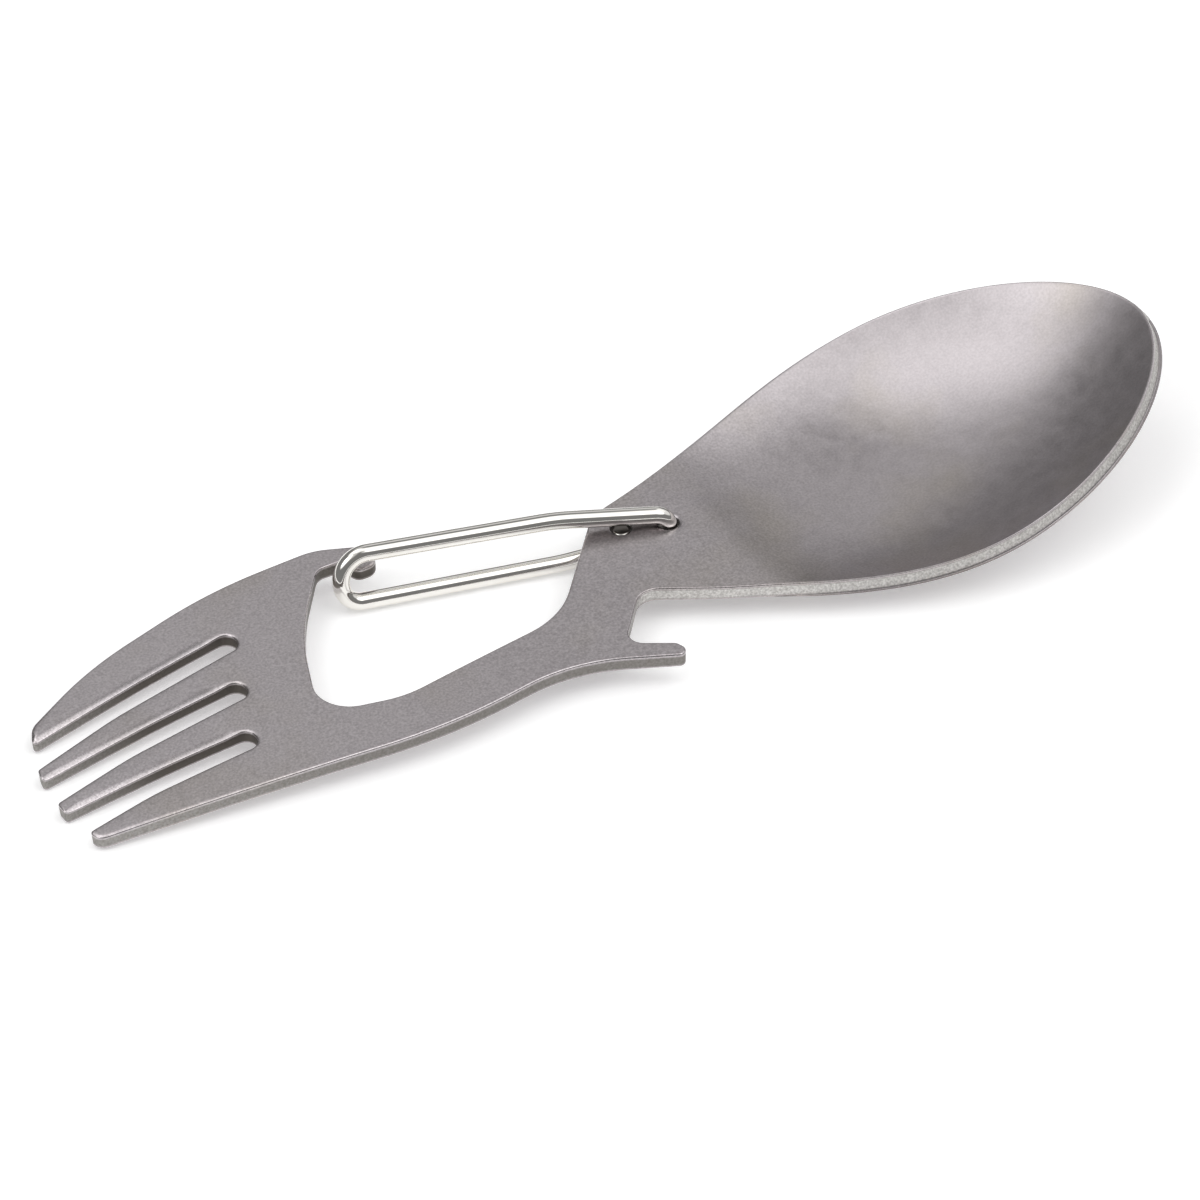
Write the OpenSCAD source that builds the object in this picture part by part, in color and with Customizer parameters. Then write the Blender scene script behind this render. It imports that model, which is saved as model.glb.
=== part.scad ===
// Camping spork pressed from one steel sheet: a spoon at one end, a four-tined fork at
// the other, and between them a neck with a bottle opener and an open eye that a bent
// wire gate closes, so that the tool clips on like a carabiner.
// Millimetres. X runs from the fork to the spoon, Y to the gate's side and Z up. The tool
// lies on the plane Z = 0, on its tines and its bowl, centred on the origin.

/* [Sheet] */
// Thickness of the steel sheet
sheet_t = 2; // [1.6:0.1:2.4]

/* [Spoon] */
// Width of the spoon where it is widest
spoon_w = 45.6; // [40:0.2:50]
// Distance along X from the neck's datum to the spoon's tip
spoon_reach = 78; // [72:0.5:86]
// Distance along X from the datum to the widest place
spoon_wide_x = 46.6; // [42:0.2:52]
// How long the sides run on towards the tip before they turn in
spoon_front_l = 16; // [10:0.5:22]
// How blunt the tip is
spoon_tip_round = 10.5; // [7:0.5:14]
// How long the sides run on towards the neck before they turn in
spoon_back_l = 15; // [10:0.5:20]
// Length over which the flare leaves the neck in a straight line
flare_l = 18; // [12:0.5:20]
// Slope of the flare where it leaves the neck
flare_slope = 0.28; // [0.2:0.01:0.45]

/* [Bowl] */
// Distance along X from the datum to the start of the pressed bowl
press_x = 13; // [12.5:0.5:16]
// Length over which the sheet turns down from the neck into the bowl
press_blend = 5; // [3:0.5:10]
// Distance along X from the datum to the place that lies furthest below the rim
bowl_deep_x = 54.5; // [48:0.5:58]
// Depth of the bowl below its rim at that place
bowl_depth = 5.5; // [5.2:0.1:8]
// How round the floor falls from the neck: 1 is a straight slope, more is rounder
bowl_back_power = 1.85; // [1.4:0.05:2.4]
// How round the floor climbs to the tip: 2 is a parabola, more is flatter
bowl_front_power = 2.35; // [2:0.05:3]
// How flat the floor is across at the deepest place: 2 is a parabola, more is flatter
bowl_power = 2; // [1.8:0.1:3]
// How flat the floor is across where it leaves the neck
bowl_neck_power = 3.2; // [2:0.1:4]
// Flat stretch of rim between the start of the bowl and the rim's upturn
rim_delay = 7.6; // [4:0.2:12]
// Length over which the rim turns upwards
rim_blend = 28; // [20:1:34]
// Height of the rim at the tip over the neck
rim_rise = 12.3; // [8:0.1:15]

/* [Fork] */
// Distance along X from the datum to the longest tines' tips
fork_reach = 78; // [72:0.5:84]
// Radius of the arc that the tine tips lie on
fork_tip_r = 28; // [24:0.5:40]
// Distance along Y from the spoon's middle line to the middle of that arc
fork_tip_y = -4.4; // [-5.4:0.1:-3.4]
// Distance of the fork's near corner from its tip arc's middle
fork_near_w = 10.2; // [9.2:0.1:11.2]
// Distance of the fork's far corner from its tip arc's middle
fork_far_w = 12.1; // [11:0.1:13.5]
// Radius of the corners of a tine's tip beside a slot
tine_tip_r = 0.5; // [0.3:0.1:1]
// Radius of the fork's two outer corners
fork_corner_r = 3; // [1:0.1:4]
// How far a tine's far edge bulges into the slot beside it
tine_bulge = 0.6; // [0:0.1:0.9]
// Width of sheet left along X between the eye and the longest slot, the one on the gate's side
slot_web = 3; // [2.6:0.1:8]
// How much shorter each slot is than the one before it
slot_stagger = 2.7; // [1:0.1:3]
// Width of a slot at its round end
slot_root_w = 3.3; // [2.6:0.1:3.6]
// Width of a slot at the tine tips
slot_tip_w = 4.6; // [3.8:0.1:4.8]
// Spacing of the slots at their round ends
slot_root_pitch = 8.7; // [8:0.1:9.4]
// Spacing of the slots at the tips
slot_tip_pitch = 6.6; // [6.2:0.1:7]
// Distance along Y from the spoon's middle line to the middle slot's round end
slot_root_y = 0.45; // [-0.6:0.05:1]
// Distance along Y from the spoon's middle line to the middle slot's open end
slot_tip_y = -3.95; // [-4.4:0.05:-3.6]
// Distance along X from the datum to where the fork starts to bend down
bend_x = -16; // [-24:0.5:-10]

/* [Gate] */
// Diameter of the gate's wire
wire_d = 2.3; // [1.8:0.1:2.6]
// Radial clearance of the wire in its two holes
hinge_clear = 0.25; // [0.15:0.05:0.4]
// Clearance between the wire and the sheet beside the hinge holes
leg_clear = 0.05; // [0.05:0.05:0.4]
// Clearance between the upper leg and the nose
nose_clear_up = 1.3; // [0.8:0.1:2]
// Clearance between the lower leg and the plane that the tool lies on
table_clear = 0.1; // [0.05:0.05:0.2]
// How far the wire ends stop short of the sheet's far face
pin_short = 0.2; // [0:0.05:0.4]
// Radius of the middle line of the bends at the wire's ends
pin_bend_r = 1.9; // [1.7:0.1:2.4]
// Radius of the middle line of the gentle bend in each leg
leg_bend_r = 30; // [15:1:40]
// Radius of the middle line of the loop's lower bend
loop_low_r = 2.5; // [2:0.1:3]
// Clearance between the closed loop and its seat in the hook
seat_clear = 1.9; // [1.4:0.1:2.2]
// Clearance between the loop and the nose inside it
loop_clear = 0.9; // [0.5:0.1:1.4]
// Cut between the two halves that the wire is modelled in
split_clear = 0.2; // [0.1:0.05:0.4]

/* [Nose] */
// Width of the nose that hooks into the loop
nose_w = 3.6; // [3:0.1:5]
// How far the nose reaches past the loop's seat
nose_drop = 2.7; // [2.2:0.1:3]
// Width of the hook over the loop's seat
hook_w = 3.7; // [3.2:0.1:5]
// Height of the nose's end, along Y
nose_h = 4.05; // [3.4:0.05:4.6]

/* [Hidden] */

steel_colour = [0.55, 0.54, 0.53];
wire_colour = [0.80, 0.80, 0.79];
curve_tol = 0.02;
corner_share = 0.49;
bend_facets = 1440;
round_facets = 48;
wire_sides = 16;
wire_step_angle = 11.25;
slot_count = 3;
// Tongue with which the bowl starts inside the flat sheet: its length, how far its faces lie
// inside the sheet's, and its share of the width
tongue_l = 2;
tongue_inset = 0.4;
tongue_share = 0.9;
// Place of a tine's bulge as a share of its slot's length from the root, and the radius there
bulge_share = 0.62;
bulge_r = 40;
// How far the bent wire starts inside its pin, and how much slimmer its corners lie
pin_overlap = 0.3;
pin_inset = 0.01;

// Hole for the upper leg's end, hole for the lower leg's end, and the loop's outermost point
hinge_a = [10.8, 3.2];
hinge_b = [4.9, 4.9];
loop_end = [-30.7, 12.75];
// How much further inwards the lower leg lies than the upper one at the loop
loop_lean = 2;
// Bend in the upper leg and its share of the leg's rise, bend in the lower leg, and place
// along X where the wire is cut
upper_bend = [-3, 7.9];
upper_bend_share = 0.7;
lower_bend = [-3, 6.2];
split_x = -23;

// Corners of the outline as [x, y, radius], on the near side of the neck and at the opener
near_flare = [9.6, -10.9, 25];
shoulder = [1.3, -6.7, 3];
opener_root = [-5.1, -15, 1.9];
lug_top = [0.8, -18.1, 0.9];
lug_end = [0.6, -20.3, 0.9];
near_valley = [-12.5, -15.2, 25];
near_crest = [-31, -18.6, 70];
// Corners on the far side of the fork and round the eye
far_tine = [-64.9, 13.55, 86];
far_bend = [-46.5, 18.75, 86];
hook_crown_x = -31.5;
hook_crown_r = 9;
nose_top_r = 2.2;
nose_tip_r = 1.7;
nose_inner_r = 1.3;
seat_r = 0.5;
armpit_x = -32.6;
armpit_r = 2;
eye_left = [-39.6, 5.6, 50];
eye_corner = [-44, -8.6, 5];
eye_low = [-33.5, -10.9, 14];
eye_right = [-9.8, -6.8, 13];
neck_far = [2.8, 9.0];
neck_far_r = 3;

function unit(v) = v / norm(v);
function xy(p) = [p[0], p[1]];

// Point of a cubic curve, and the curve's parameter at a given x
function bezier(p, t) =
    pow(1 - t, 3) * p[0] + 3 * pow(1 - t, 2) * t * p[1] + 3 * (1 - t) * t * t * p[2] + t * t * t * p[3];
function bezier_at(p, x, low = 0, high = 1, turns = 40) =
    let (mid = (low + high) / 2)
    turns == 0 ? mid
    : bezier(p, mid)[0] < x ? bezier_at(p, x, mid, high, turns - 1)
    : bezier_at(p, x, low, mid, turns - 1);

// Arc that rounds the corner c between its neighbours p and n. Its radius is limited
// by a share of the shorter of its two edges.
function corner_arc(p, c, n) =
    let (
        u = unit(xy(p) - xy(c)),
        v = unit(xy(n) - xy(c)),
        half = acos(u * v) / 2,
        edge = min(norm(xy(p) - xy(c)), norm(xy(n) - xy(c))),
        r = min(c[2], corner_share * edge * tan(half)),
        middle = xy(c) + unit(u + v) * r / sin(half),
        from = xy(c) + u * r / tan(half) - middle,
        sweep = 180 - 2 * half,
        turn = cross(u, v) > 0 ? -1 : 1,
        steps = max(1, ceil(sweep / (2 * acos(1 - curve_tol / max(r, curve_tol))))),
        start = atan2(from[1], from[0])
    )
    [for (i = [0:steps])
        let (a = start + turn * sweep * i / steps) middle + r * [cos(a), sin(a)]];
function rounded(corners) =
    [for (i = [1:len(corners) - 2]) each corner_arc(corners[i - 1], corners[i], corners[i + 1])];

// The spoon's half outline: the flare from the neck to the widest place, and the front
flare = [
    neck_far, neck_far + flare_l * [1, flare_slope],
    [spoon_wide_x - spoon_back_l, spoon_w / 2], [spoon_wide_x, spoon_w / 2]
];
front = [
    [spoon_wide_x, spoon_w / 2], [spoon_wide_x + spoon_front_l, spoon_w / 2],
    [spoon_reach, spoon_tip_round], [spoon_reach, 0]
];
press_t = bezier_at(flare, press_x);
flare_rows = 18;
front_rows = 20;
bowl_columns = 20;
front_end_share = 0.985;
bowl_rows = concat(
    [for (i = [0:flare_rows - 1]) bezier(flare, press_t + (1 - press_t) * i / flare_rows)],
    [for (i = [0:front_rows]) bezier(front, front_end_share * i / front_rows)]
);

// Height of the pressed sheet over the neck, at x and at the share v of the half width
rim_x = press_x + rim_delay;
rim_slope = rim_rise / (spoon_reach - rim_x - rim_blend / 2);
function rim_at(x) =
    let (d = x - rim_x)
    d <= 0 ? 0 : d < rim_blend ? rim_slope * d * d / (2 * rim_blend) : rim_slope * (d - rim_blend / 2);
bowl_back_l = bowl_deep_x - press_x;
function back_share(x) =
    let (d = x - press_x)
    (d < press_blend ? d * d / (2 * press_blend) : d - press_blend / 2) / (bowl_back_l - press_blend / 2);
function dip_at(x) =
    bowl_depth * (x < bowl_deep_x
        ? 1 - pow(1 - back_share(x), bowl_back_power)
        : 1 - pow((x - bowl_deep_x) / (spoon_reach - bowl_deep_x), bowl_front_power));
function power_at(x) =
    bowl_neck_power + (bowl_power - bowl_neck_power) * min((x - press_x) / bowl_back_l, 1);
function lift(x, v) = rim_at(x) - dip_at(x) * (1 - pow(abs(v), power_at(x)));

// The neck stands so high that the bowl's underside and the tine tips touch the plane Z = 0
neck_z = -min([for (p = bowl_rows) lift(p[0], 0)]);
top_z = neck_z + sheet_t;
tine_run = fork_reach + bend_x;
bend_r = (tine_run * tine_run + neck_z * neck_z) / (2 * neck_z);

// Points of the bowl's upper skin and of its underside, by row and column
function share(j) = 2 * j / bowl_columns - 1;
function skin(i, j) = let (p = bowl_rows[i]) [p[0], share(j) * p[1], top_z + lift(p[0], share(j))];
function normal(i, j) =
    i == 0 ? [0, 0, 1]
    : unit(cross(
        skin(min(i + 1, len(bowl_rows) - 1), j) - skin(i - 1, j),
        skin(i, min(j + 1, bowl_columns)) - skin(i, max(j - 1, 0))
    ));
function underside(i, j) = skin(i, j) - sheet_t * normal(i, j);

// Tine tips and slots. A slot has a near and a far corner at the tips and at its root.
function tip_x(y) = -fork_reach + fork_tip_r - sqrt(pow(fork_tip_r, 2) - pow(y - fork_tip_y, 2));
function tip_corner(y, r) = [tip_x(y), y, r];
function slot_corners(i) =
    let (
        step = i - (slot_count - 1) / 2,
        root = [eye_corner[0] - slot_web - i * slot_stagger, slot_root_y - step * slot_root_pitch],
        tip = slot_tip_y - step * slot_tip_pitch,
        along = unit(root - [tip_x(tip), tip]),
        square = [-along[1], along[0]],
        near_tip = tip_corner(tip - slot_tip_w / 2, tine_tip_r),
        near_root = root - square * slot_root_w / 2,
        bulge = near_root + bulge_share * (xy(near_tip) - near_root) + square * tine_bulge
    )
    [
        near_tip,
        concat(bulge, bulge_r),
        concat(near_root, slot_root_w / 2),
        concat(root + square * slot_root_w / 2, slot_root_w / 2),
        tip_corner(tip + slot_tip_w / 2, tine_tip_r)
    ];

// The hook's seat for the loop, and the nose that reaches into the loop
seat_y = loop_end[1] + wire_d / 2 + seat_clear;
nose_left = loop_end[0] + wire_d / 2 + loop_clear;
nose_right = nose_left + nose_w;
nose_y = seat_y - nose_drop;
nose_top_y = nose_y + nose_h;

press_half = bezier(flare, press_t);
flare_start_share = 0.06;
outline = concat(
    rounded(concat(
        [
            bezier(flare, 1), concat(press_half[0], -press_half[1], 0), near_flare, shoulder,
            opener_root, lug_top, lug_end, near_valley, near_crest,
            tip_corner(fork_tip_y - fork_near_w, fork_corner_r)
        ],
        [for (i = [slot_count - 1:-1:0]) each slot_corners(i)],
        [
            tip_corner(fork_tip_y + fork_far_w, fork_corner_r), far_tine, far_bend,
            [hook_crown_x, seat_y + hook_w, hook_crown_r], [nose_right, nose_top_y, nose_top_r],
            [nose_right, nose_y, nose_tip_r], [nose_left, nose_y, nose_inner_r],
            [nose_left, seat_y, seat_r], [armpit_x, seat_y, armpit_r],
            eye_left, eye_corner, eye_low, eye_right, concat(neck_far, neck_far_r), flare[1]
        ]
    )),
    [for (i = [0:flare_rows])
        bezier(flare, flare_start_share + (press_t - flare_start_share) * i / flare_rows)]
);

// Middle of the tool's length, which lies on the origin
spoon_end_x = max([for (j = [0:bowl_columns]) underside(len(bowl_rows) - 1, j)[0]]);
centre_x = (spoon_end_x + min([for (p = outline) p[0]])) / 2;

// The flat sheet and the fork's gentle bend, cut to the outline
module blank() {
    reach = spoon_reach + fork_reach;
    intersection() {
        linear_extrude(height = 2 * top_z) polygon(outline);
        union() {
            translate([bend_x, -spoon_w, neck_z]) cube([reach, 2 * spoon_w, sheet_t]);
            translate([bend_x, spoon_w, top_z - bend_r - sheet_t])
                rotate([90, 0, 0])
                    linear_extrude(height = 2 * spoon_w)
                        intersection() {
                            difference() {
                                circle(r = bend_r + sheet_t, $fn = bend_facets);
                                circle(r = bend_r, $fn = bend_facets);
                            }
                            translate([-reach, 0]) square([reach, bend_r + 2 * sheet_t]);
                        }
        }
    }
}

// The pressed bowl, a sheet of even thickness whose edge stands square to it
function tongue(j, z) = [press_x - tongue_l, share(j) * tongue_share * press_half[1], z];
module bowl() {
    last = len(bowl_rows) - 1;
    width = bowl_columns + 1;
    count = (last + 2) * width;
    function upper(i, j) = (i + 1) * width + j;
    function lower(i, j) = count + upper(i, j);
    function quad(a, b, c, d) = [[a, b, c], [a, c, d]];
    points = concat(
        [for (i = [-1:last], j = [0:bowl_columns]) i < 0 ? tongue(j, top_z - tongue_inset) : skin(i, j)],
        [for (i = [-1:last], j = [0:bowl_columns])
            i < 0 ? tongue(j, neck_z + tongue_inset) : underside(i, j)]
    );
    faces = concat(
        [for (i = [-1:last - 1], j = [0:bowl_columns - 1])
            each quad(upper(i, j), upper(i, j + 1), upper(i + 1, j + 1), upper(i + 1, j))],
        [for (i = [-1:last - 1], j = [0:bowl_columns - 1])
            each quad(lower(i, j), lower(i + 1, j), lower(i + 1, j + 1), lower(i, j + 1))],
        [for (i = [-1:last - 1])
            each quad(upper(i, 0), upper(i + 1, 0), lower(i + 1, 0), lower(i, 0))],
        [for (i = [-1:last - 1])
            each quad(lower(i, bowl_columns), lower(i + 1, bowl_columns),
                upper(i + 1, bowl_columns), upper(i, bowl_columns))],
        [for (j = [0:bowl_columns - 1])
            each quad(lower(-1, j), lower(-1, j + 1), upper(-1, j + 1), upper(-1, j))],
        [for (j = [0:bowl_columns - 1])
            each quad(upper(last, j), upper(last, j + 1), lower(last, j + 1), lower(last, j))]
    );
    polyhedron(points, faces);
}

module sheet_body() {
    color(steel_colour)
        translate([-centre_x, 0, 0])
            difference() {
                union() {
                    blank();
                    bowl();
                }
                for (hinge = [hinge_a, hinge_b])
                    translate([hinge[0], hinge[1], 0])
                        cylinder(h = 2 * top_z, d = wire_d + 2 * hinge_clear, $fn = round_facets);
            }
}

// Points and directions of a wire's middle line. Each inner point is a bend [x, y, z, radius].
function xyz(p) = [p[0], p[1], p[2]];
function half_angle(p, c, n) = acos(unit(xyz(p) - xyz(c)) * unit(xyz(n) - xyz(c))) / 2;
function bend_reach(p, c, n) = c[3] / tan(half_angle(p, c, n));
function bend_path(p, c, n) =
    let (
        in = unit(xyz(c) - xyz(p)),
        ahead = unit(xyz(n) - xyz(c)),
        half = half_angle(p, c, n),
        middle = xyz(c) + unit(ahead - in) * c[3] / sin(half),
        out = unit(xyz(c) - in * bend_reach(p, c, n) - middle),
        sweep = 180 - 2 * half,
        steps = max(2, ceil(sweep / wire_step_angle))
    )
    [for (i = [0:steps])
        let (a = sweep * i / steps)
        [middle + c[3] * (cos(a) * out + sin(a) * in), cos(a) * in - sin(a) * out]];

// A wire whose first straight stretch is a pin. The bent rest starts inside the pin.
module bent_wire(points) {
    last = len(points) - 1;
    start = xyz(points[0]);
    along = unit(xyz(points[1]) - start);
    pin_end = xyz(points[1]) - along * bend_reach(points[0], points[1], points[2]);
    path = concat(
        [[pin_end - along * pin_overlap, along]],
        [for (i = [1:last - 1]) each bend_path(points[i - 1], points[i], points[i + 1])],
        [[xyz(points[last]), unit(xyz(points[last]) - xyz(points[last - 1]))]]
    );
    // A direction square to the wire, carried along it without twisting
    function side(i) =
        let (n = i == 0 ? [1, 0, 0] : side(i - 1)) unit(n - (n * path[i][1]) * path[i][1]);
    ring_r = wire_d / 2 - pin_inset;
    rings = len(path);
    translate(start)
        rotate([0, acos(along[2]), 0])
            cylinder(h = norm(pin_end - start), d = wire_d, $fn = round_facets);
    polyhedron(
        [for (i = [0:rings - 1])
            let (u = side(i), v = cross(path[i][1], u))
            for (k = [0:wire_sides - 1])
                path[i][0] + ring_r * (cos(360 * k / wire_sides) * u + sin(360 * k / wire_sides) * v)],
        concat(
            [for (i = [0:rings - 2], k = [0:wire_sides - 1])
                let (a = i * wire_sides + k, b = i * wire_sides + (k + 1) % wire_sides)
                each [[a, a + wire_sides, b + wire_sides], [a, b + wire_sides, b]]],
            [[for (k = [0:wire_sides - 1]) k]],
            [[for (k = [wire_sides - 1:-1:0]) (rings - 1) * wire_sides + k]]
        )
    );
}

// Heights of the wire's middle line at the hinge holes and at the loop
upper_hinge_z = top_z + leg_clear + wire_d / 2;
lower_hinge_z = neck_z - leg_clear - wire_d / 2;
upper_loop_z = top_z + nose_clear_up + wire_d / 2;
lower_loop_z = table_clear + wire_d / 2;
upper_bend_z = upper_hinge_z + upper_bend_share * (upper_loop_z - upper_hinge_z);
loop_top_r = upper_loop_z - lower_loop_z - loop_low_r - curve_tol;
upper_loop = [loop_end[0], loop_end[1] + loop_lean / 2, upper_loop_z, loop_top_r];
lower_loop = [loop_end[0], loop_end[1] - loop_lean / 2, lower_loop_z, loop_low_r];

// Point of the lower leg, which runs straight and level from the loop to its bend
function lower_leg(x) =
    let (s = (x - lower_loop[0]) / (lower_bend[0] - lower_loop[0]))
    [x, lower_loop[1] + s * (lower_bend[1] - lower_loop[1]), lower_loop_z];

// Upper half of the gate: the end in its hole, the upper leg and the loop
module gate_upper_wire() {
    color(wire_colour)
        translate([-centre_x, 0, 0])
            bent_wire([
                [hinge_a[0], hinge_a[1], neck_z + pin_short],
                [hinge_a[0], hinge_a[1], upper_hinge_z, pin_bend_r],
                concat(upper_bend, upper_bend_z, leg_bend_r),
                upper_loop,
                lower_loop,
                lower_leg(split_x)
            ]);
}

// Lower half of the gate: the lower leg and the end in its hole
module gate_lower_wire() {
    color(wire_colour)
        translate([-centre_x, 0, 0])
            bent_wire([
                [hinge_b[0], hinge_b[1], top_z - pin_short],
                [hinge_b[0], hinge_b[1], lower_hinge_z, pin_bend_r],
                concat(lower_bend, lower_loop_z, leg_bend_r),
                lower_leg(split_x + split_clear)
            ]);
}

sheet_body();
gate_upper_wire();
gate_lower_wire();
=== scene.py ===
# %% [markdown]
# # A camping spork, dressed for its picture
# The real tool is one pressed steel sheet with a spoon, a fork, a bottle opener and an eye, and
# one bent wire that closes the eye like a carabiner's gate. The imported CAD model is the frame
# that every piece here follows: it is loaded first, and nothing in it is moved.

# %% Load the frame
import math

import bpy
import numpy as np
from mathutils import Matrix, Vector
from mathutils.geometry import delaunay_2d_cdt


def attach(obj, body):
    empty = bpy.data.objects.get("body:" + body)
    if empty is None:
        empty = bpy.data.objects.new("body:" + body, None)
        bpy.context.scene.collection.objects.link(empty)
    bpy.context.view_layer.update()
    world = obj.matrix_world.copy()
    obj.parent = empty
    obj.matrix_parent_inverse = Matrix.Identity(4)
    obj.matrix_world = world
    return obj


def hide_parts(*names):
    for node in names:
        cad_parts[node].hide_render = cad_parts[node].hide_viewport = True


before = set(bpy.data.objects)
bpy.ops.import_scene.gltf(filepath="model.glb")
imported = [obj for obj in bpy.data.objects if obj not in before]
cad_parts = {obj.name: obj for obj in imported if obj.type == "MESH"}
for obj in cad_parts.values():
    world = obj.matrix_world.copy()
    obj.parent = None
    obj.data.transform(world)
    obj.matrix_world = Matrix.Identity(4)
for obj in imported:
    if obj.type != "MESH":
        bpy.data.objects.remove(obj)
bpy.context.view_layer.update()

MM = 0.001

# %% [markdown]
# ## The camera
# A product picture is taken with a long lens from far away, which keeps the near and the far end
# at nearly the same scale. The camera looks down at 40 degrees, 28 degrees round from the near
# side, at a point on the neck's upper face. A focal length in pixels, taken for a square picture
# of 1200 pixels, turns into millimetres of lens on a 36 mm sensor.

# %% Camera
CAMERA_TARGET = Vector((-4.788, -6.36, 4.924)) * MM
CAMERA_ELEVATION, CAMERA_AZIMUTH = math.radians(40.0), math.radians(-28.0)
CAMERA_DISTANCE = 700.0 * MM
PICTURE_PX, FOCAL_PX, SENSOR_MM = 1200, 5621, 36.0
CLIP_NEAR, CLIP_FAR = 0.01, 50.0


def direction(azimuth, elevation):
    """Unit vector from the object, by angles in radians. Azimuth 0 is the near side, -Y."""
    level = math.cos(elevation)
    return Vector((math.sin(azimuth) * level, -math.cos(azimuth) * level, math.sin(elevation)))


camera = bpy.data.objects.new("camera", bpy.data.cameras.new("camera"))
camera.data.sensor_width = SENSOR_MM
camera.data.lens = SENSOR_MM * FOCAL_PX / PICTURE_PX
camera.data.clip_start, camera.data.clip_end = CLIP_NEAR, CLIP_FAR
away = direction(CAMERA_AZIMUTH, CAMERA_ELEVATION)
camera.location = CAMERA_TARGET + CAMERA_DISTANCE * away
camera.rotation_euler = away.to_track_quat("Z", "Y").to_euler()
bpy.context.scene.collection.objects.link(camera)
bpy.context.scene.camera = camera
print("lens: %.1f mm" % camera.data.lens)

# %% [markdown]
# ## How the edges of the sheet are worn
# A punch drags the upper face down along every cut, and tumbling rounds what is left. Along the
# outside that is a fine round. On the tines it is a wide roll along the near edge of each tine,
# and that roll is what catches the light in a picture. Each kind of edge is six sizes in
# millimetres, the width, drop and corner radius of the upper edge and of the lower one, and a
# share from 0 to 1 of light wall. The light wall is partly the blasted finish outside, but the
# share also paints light and shade: the spoon's rim wall is painted light, as if lit by the white
# table, and the walls in the narrow slots, the holes, the hook's seat and on the nose under the
# gate are painted dark, as painted shade.

# %% Kinds of edge
# The last number of each kind is partly the blasted finish and partly painted light and shade: the spoon's
# rim wall is painted light, and the walls in the slots, the holes, the seat and on the nose under the gate
# are painted dark, as painted shade.
EDGES = {
    "outside": (0.20, 0.02, 0.27, 0.15, 0.02, 0.12, 0.27),
    "rim": (0.20, 0.02, 0.20, 0.15, 0.02, 0.15, 1.0),
    "fork_corner": (0.50, 0.10, 0.25, 0.40, 0.10, 0.25, 0.5),
    "slot_root": (0.35, 0.08, 0.15, 0.15, 0.02, 0.10, 0.0),
    "tine_far": (0.40, 0.06, 0.10, 0.15, 0.02, 0.10, 0.1),
    "tine_near": (1.30, 0.26, 0.14, 0.15, 0.02, 0.10, 0.0),
    "tine_tip": (1.30, 0.40, 0.10, 0.30, 0.12, 0.08, 0.4),
    "tine_end": (0.35, 0.08, 0.10, 0.30, 0.12, 0.10, 0.4),
    "nose": (0.50, 0.10, 0.25, 0.40, 0.10, 0.25, 0.05),
    "seat": (0.20, 0.02, 0.20, 0.15, 0.02, 0.12, 0.15),
    "worn_hole": (0.80, 0.16, 0.10, 0.15, 0.02, 0.10, 0.3),
    "hole": (0.20, 0.03, 0.12, 0.15, 0.02, 0.10, 0.15),
}
UPPER, LOWER, PAINTED_LIGHT = 0, 3, 6
print("kinds of edge:", ", ".join(EDGES))

# %% [markdown]
# ## The outline of the sheet
# The blank is punched out of flat sheet, so its outline is a drawing of straight lines with
# rounded corners, plus two cubic curves for the spoon. The sizes are the ones that the CAD model
# was drawn with, in millimetres, apart from a slight bow of the slots and a rounder end of the
# opener. Every corner is (x, y, radius, kind of edge), and one function rounds them all.

# %% Rounded corners and curves
ARC_STEP = 0.25
CORNER_SHARE = 0.49


def unit(v):
    """The vector at length 1."""
    return v / np.linalg.norm(v)


def round_corner(before, corner, after):
    """Points of the arc that rounds one corner between its two neighbours."""
    c = np.array(corner[:2])
    u, v = np.array(before[:2]) - c, np.array(after[:2]) - c
    shorter = min(np.linalg.norm(u), np.linalg.norm(v))
    u, v = unit(u), unit(v)
    half = math.acos(np.clip(u @ v, -1, 1)) / 2
    radius = min(corner[2], CORNER_SHARE * shorter * math.tan(half))
    middle = c + unit(u + v) * radius / math.sin(half)
    start = c + u * radius / math.tan(half) - middle
    turn = -1 if u[0] * v[1] - u[1] * v[0] > 0 else 1
    sweep = turn * (math.pi - 2 * half)
    steps = max(2, math.ceil(abs(sweep) * radius / ARC_STEP))
    angles = math.atan2(start[1], start[0]) + sweep * np.arange(steps + 1) / steps
    return middle + radius * np.stack([np.cos(angles), np.sin(angles)], 1)


def cubic(p, t):
    """Points of a cubic curve with four control points."""
    t = np.asarray(t, float)[:, None]
    return (1 - t) ** 3 * p[0] + 3 * (1 - t) ** 2 * t * p[1] + 3 * (1 - t) * t ** 2 * p[2] + t ** 3 * p[3]


# %% Spoon outline
SPOON_W, SPOON_REACH, SPOON_WIDE_X = 45.6, 78.0, 46.6
SPOON_FRONT_L, SPOON_TIP_ROUND, SPOON_BACK_L = 16.0, 10.5, 15.0
FLARE_L, FLARE_SLOPE, FLARE_START = 18.0, 0.28, 0.06
NECK_FAR = (2.8, 9.0)
PRESS_X = 13.0
OUTLINE_STEPS = 120

flare = np.array([NECK_FAR, (NECK_FAR[0] + FLARE_L, NECK_FAR[1] + FLARE_L * FLARE_SLOPE),
                  (SPOON_WIDE_X - SPOON_BACK_L, SPOON_W / 2), (SPOON_WIDE_X, SPOON_W / 2)])
front = np.array([(SPOON_WIDE_X, SPOON_W / 2), (SPOON_WIDE_X + SPOON_FRONT_L, SPOON_W / 2),
                  (SPOON_REACH, SPOON_TIP_ROUND), (SPOON_REACH, 0)])
shares = np.linspace(0, 1, OUTLINE_STEPS)
half_outline = np.concatenate([cubic(flare, shares), cubic(front, shares)[1:]])
far_side = half_outline[half_outline[:, 0] > cubic(flare, [FLARE_START])[0, 0]]
near_side = (half_outline * (1, -1))[half_outline[:, 0] >= PRESS_X][::-1]
print("spoon: %.1f mm wide, %.1f mm from neck to tip" % (2 * half_outline[:, 1].max(), SPOON_REACH))

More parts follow.
